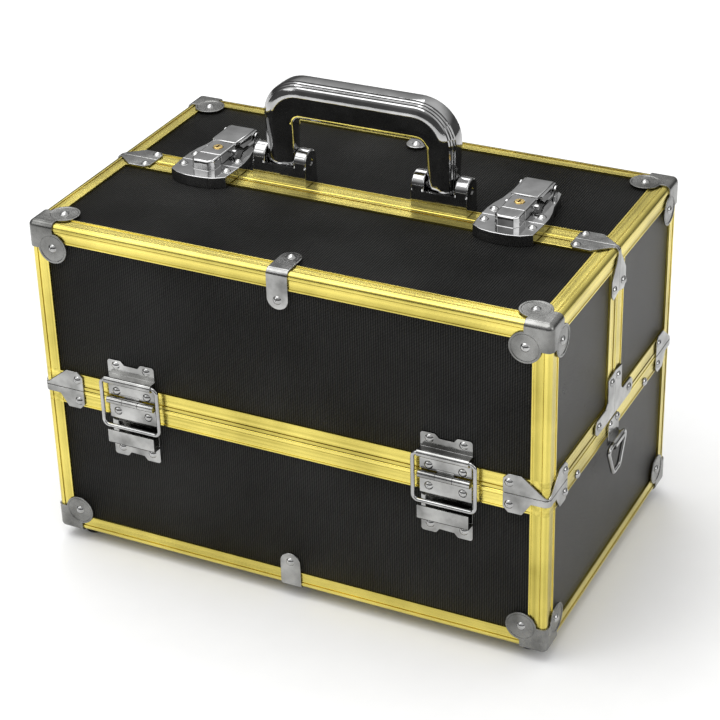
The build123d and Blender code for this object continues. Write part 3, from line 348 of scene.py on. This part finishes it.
def soften(node, width, shortest, material):
    """Copy a fitting's mesh and round its hard edges, except beside any shorter than shortest."""
    work = bmesh.new()
    work.from_mesh(frame["nodes"][node].data)
    bmesh.ops.remove_doubles(work, verts=work.verts, dist=MERGE_DISTANCE)
    bmesh.ops.dissolve_limit(work, angle_limit=FLAT_ANGLE, verts=work.verts, edges=work.edges)
    whole = [edge for edge in work.edges if edge.is_manifold]
    hard = [edge for edge in whole if edge.calc_face_angle() > HARD_ANGLE]
    short = [edge for edge in hard if edge.calc_length() < shortest * MM]
    crowded = {vert for edge in short for vert in edge.verts}
    hard = [edge for edge in hard if not crowded.intersection(edge.verts)]
    bmesh.ops.bevel(work, geom=hard, offset=width * MM, offset_type="OFFSET",
                    segments=BEVEL_SEGMENTS, profile=BEVEL_PROFILE, affect="EDGES",
                    clamp_overlap=False, miter_outer="SHARP")
    mesh = bpy.data.meshes.new(node + "_soft")
    work.to_mesh(mesh)
    work.free()
    place_piece(node + "_soft", mesh, node, material, FITTING_SMOOTH_ANGLE)


# ---------------------------------------------------------------- handle
HANDLE_LOW, HANDLE_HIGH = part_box("handle")
HANDLE_MIDDLE_Y = (HANDLE_LOW.y + HANDLE_HIGH.y) / 2
FOOT_HALF_DEPTH = 7.0
GRIP_HALF_DEPTH = 11.0
LEG_FOOT_X = (47.35, 67.65)
# an outer corner, before it is rounded, stands out past the CAD handle by this
LEG_LEAN = 1.1
WINDOW_HALF_X = 46.5
WINDOW_CORNER = 5.0
ARCH_CORNER = 28.0
GRIP_HEIGHT = 27.0
DEEPENING = (8.0, 1.2)        # the legs reach full depth this far above the window, by this power
FOOT_TURNS = (88, 75, 60, 45, 30, 15)
ARCH_COUNTS = (10, 14, 10)    # spans up a leg, round the corner and along the top
HANDLE_SMOOTH_ANGLE = 30
# half of the grip's section: distance from its middle, then depth below the outer face
GRIP_CROWN = [
    (0.0, 0.0), (3.0, 0.05), (5.0, 0.25), (5.2, 1.0), (6.7, 1.25), (6.9, 2.0),
    (8.3, 2.45), (8.5, 3.2), (9.6, 3.7), (10.6, 6.0), (11.0, 8.3), (10.95, 10.0),
]
# the rest of it: distance from its middle, then height above the inner face
GRIP_BELLY = [(9.6, 8.0), (8.9, 4.6), (7.6, 2.0), (5.4, 0.5), (2.8, 0.05), (0.0, 0.0)]


def arch_line(foot, corner, top, radius, counts):
    """Points from a foot up and over a rounded corner to the middle of the arch."""
    up = (corner - foot).normalized()
    over = Vector((-1.0, 0.0))
    turn = math.acos(max(-1.0, min(1.0, up.dot(over))))
    reach = radius * math.tan(turn / 2)
    start = corner - up * reach
    inward = Vector((-up.y, up.x))
    centre = start + inward * radius
    legs, bend, flat = counts
    points = [foot.lerp(start, step / legs) for step in range(legs)]
    for step in range(bend + 1):
        angle = turn * step / bend
        points.append(centre - inward * radius * math.cos(angle) + up * radius * math.sin(angle))
    end = points[-1]
    points += [end.lerp(Vector((0.0, top)), step / flat) for step in range(1, flat + 1)]
    return points


def handle_mesh():
    """Cast arch: ribs step down its shoulders, and its faces lean in underneath."""
    top = HANDLE_HIGH.z / MM
    pivot = HANDLE_LOW.z / MM + FOOT_HALF_DEPTH
    under = top - GRIP_HEIGHT
    inner_foot, outer_foot = (Vector((x, pivot)) for x in LEG_FOOT_X)
    outer_corner = Vector((HANDLE_HIGH.x / MM + LEG_LEAN, top))
    inner_corner = Vector((WINDOW_HALF_X, under))
    outer = arch_line(outer_foot, outer_corner, top, ARCH_CORNER, ARCH_COUNTS)
    inner = arch_line(inner_foot, inner_corner, under, WINDOW_CORNER, ARCH_COUNTS)
    deepening, power = DEEPENING
    stations = []
    for turn in FOOT_TURNS:
        drop = FOOT_HALF_DEPTH * math.sin(math.radians(turn))
        depth = FOOT_HALF_DEPTH * math.cos(math.radians(turn))
        stations.append((outer[0] - Vector((0, drop)), inner[0] - Vector((0, drop)), depth))
    for out, into in zip(outer, inner):
        rise = max(0.0, min(1.0, (out.y - pivot) / (under + deepening - pivot)))
        depth = FOOT_HALF_DEPTH + (GRIP_HALF_DEPTH - FOOT_HALF_DEPTH) * rise ** power
        stations.append((out, into, depth))
    mirrored = []
    for out, into, depth in reversed(stations[:-1]):
        mirrored.append((Vector((-out.x, out.y)), Vector((-into.x, into.y)), depth))
    work = bmesh.new()
    rings = []
    for out, into, depth in stations + mirrored:
        across = into - out
        height = across.length
        across.normalize()
        wide = depth / GRIP_HALF_DEPTH
        section = GRIP_CROWN + [(y, height - rise) for y, rise in GRIP_BELLY]
        loop = section + [(-y, h) for y, h in reversed(section[1:-1])]
        ring = []
        for y, h in loop:
            spot = out + across * h
            ring.append(work.verts.new((spot.x * MM, HANDLE_MIDDLE_Y + y * wide * MM, spot.y * MM)))
        rings.append(ring)
    for first, second in zip(rings, rings[1:]):
        for index in range(len(first)):
            following = (index + 1) % len(first)
            work.faces.new((first[index], first[following], second[following], second[index]))
    work.faces.new(rings[0])
    work.faces.new(list(reversed(rings[-1])))
    bmesh.ops.recalc_face_normals(work, faces=work.faces)
    mesh = bpy.data.meshes.new("handle_cast")
    work.to_mesh(mesh)
    work.free()
    return mesh


def finish_fittings(materials):
    for node, width in SOFT_EDGE.items():
        # the corner caps take the darker nickel, whose dark tint is painted shade
        name = "brushed_cap_nickel_painted_shade" if node.endswith("corner_caps") else SLOT_OF[node]
        soften(node, width, 0.0, materials[name])
    for node in FINE_FITTINGS:
        soften(node, FINE_EDGE, FINE_SHORTEST, materials[SLOT_OF[node]])
    chrome = materials["chrome_bright"]
    place_piece("handle_cast", handle_mesh(), "handle", chrome, HANDLE_SMOOTH_ANGLE)


# ---------------------------------------------------------------- studio
FLOOR_RADIUS = 2.3
ROOM_STRENGTH = 0.9
ROOM_SEEN = 1.15              # grey of the room where the camera sees it directly
# grey of the room by height of the direction: the first and last, then those between
ROOM_ENDS = ((0.0, 0.12), (1.0, 1.0))
ROOM_BETWEEN = ((0.2, 0.12), (0.44, 0.62), (0.6, 0.9))
# soft boxes as (name, place, aim, size, watts)
SOFT_BOXES = (
    ("overhead_box", (-0.35, -0.25, 1.7), (0, 0, 0.1), (1.7, 1.5), 18),
    ("front_left_box", (-1.5, -1.5, 1.3), (0, 0, 0.12), (1.0, 1.2), 6),
    ("right_box", (1.9, -0.3, 0.9), (0, 0, 0.12), (0.9, 1.1), 6),
    ("rear_box", (-0.9, 1.5, 1.9), (0, 0, 0.15), (1.2, 0.7), 9),
)


def grey(value):
    return (value, value, value, 1)


def area_light(name, place, aim, size, watts):
    light = bpy.data.lights.new(name, "AREA")
    light.shape = "RECTANGLE"
    light.size, light.size_y = size
    light.energy = watts
    lamp = bpy.data.objects.new(name, light)
    lamp.location = place
    lamp.rotation_euler = (Vector(aim) - Vector(place)).to_track_quat("-Z", "Y").to_euler()
    bpy.context.scene.collection.objects.link(lamp)


def studio_floor():
    bpy.ops.mesh.primitive_circle_add(
        vertices=128, radius=FLOOR_RADIUS, fill_type="NGON", location=(0, 0, 0))
    floor = bpy.context.object
    floor.name = "studio_floor"
    material, tree, surface, point = start_material("studio_floor", 0.0, Specular_IOR_Level=0.1)
    colour = blend_colours(tree, noise(tree, point, 40.0), (0.90,) * 3, (0.93,) * 3)
    tree.links.new(colour, surface.inputs["Base Color"])
    surface.inputs["Roughness"].default_value = 0.9
    floor.data.materials.append(material)


def room():
    """A grey room that darkens towards the horizon, and is white where the camera sees it."""
    world = bpy.data.worlds.new("studio")
    bpy.context.scene.world = world
    world.use_nodes = True
    tree = world.node_tree
    background = tree.nodes["Background"]
    direction = shader(tree, "ShaderNodeTexCoord").outputs["Generated"]
    height = shader(tree, "ShaderNodeSeparateXYZ", {0: direction}).outputs["Z"]
    ramp = shader(tree, "ShaderNodeValToRGB", {0: height})
    stops = ramp.color_ramp.elements
    for stop, (position, value) in zip(stops, ROOM_ENDS):
        stop.position, stop.color = position, grey(value)
    for position, value in ROOM_BETWEEN:
        stops.new(position).color = grey(value)
    seen = shader(tree, "ShaderNodeLightPath").outputs["Is Camera Ray"]
    mixed = shader(tree, "ShaderNodeMix", data_type="RGBA")
    tree.links.new(seen, mixed.inputs["Factor"])
    tree.links.new(ramp.outputs[0], mixed.inputs[6])
    mixed.inputs[7].default_value = grey(ROOM_SEEN)
    tree.links.new(mixed.outputs[2], background.inputs["Color"])
    background.inputs["Strength"].default_value = ROOM_STRENGTH


def studio():
    """White floor, room and soft boxes."""
    studio_floor()
    room()
    for box in SOFT_BOXES:
        area_light(*box)


def camera():
    middle = (CASE_LOW + CASE_HIGH) / 2
    azimuth, elevation = math.radians(CAMERA_AZIMUTH), math.radians(CAMERA_ELEVATION)
    level = math.cos(elevation)
    back = Vector((math.sin(azimuth) * level, -math.cos(azimuth) * level, math.sin(elevation)))
    eye = bpy.data.objects.new("camera", bpy.data.cameras.new("camera"))
    eye.data.lens = CAMERA_LENS
    eye.data.sensor_width = CAMERA_SENSOR
    turn = (-back).to_track_quat("-Z", "Y").to_matrix().to_4x4()
    roll = Matrix.Rotation(math.radians(CAMERA_ROLL), 4, "Z")
    stand = Matrix.Translation(middle + CAMERA_AIM_SHIFT + back * CAMERA_DISTANCE)
    eye.matrix_world = stand @ turn @ roll
    bpy.context.scene.collection.objects.link(eye)
    bpy.context.scene.camera = eye


materials = make_materials()
paint_cad_nodes(materials)
finish_fittings(materials)
studio()
camera()
bpy.context.scene.view_settings.view_transform = "Standard"
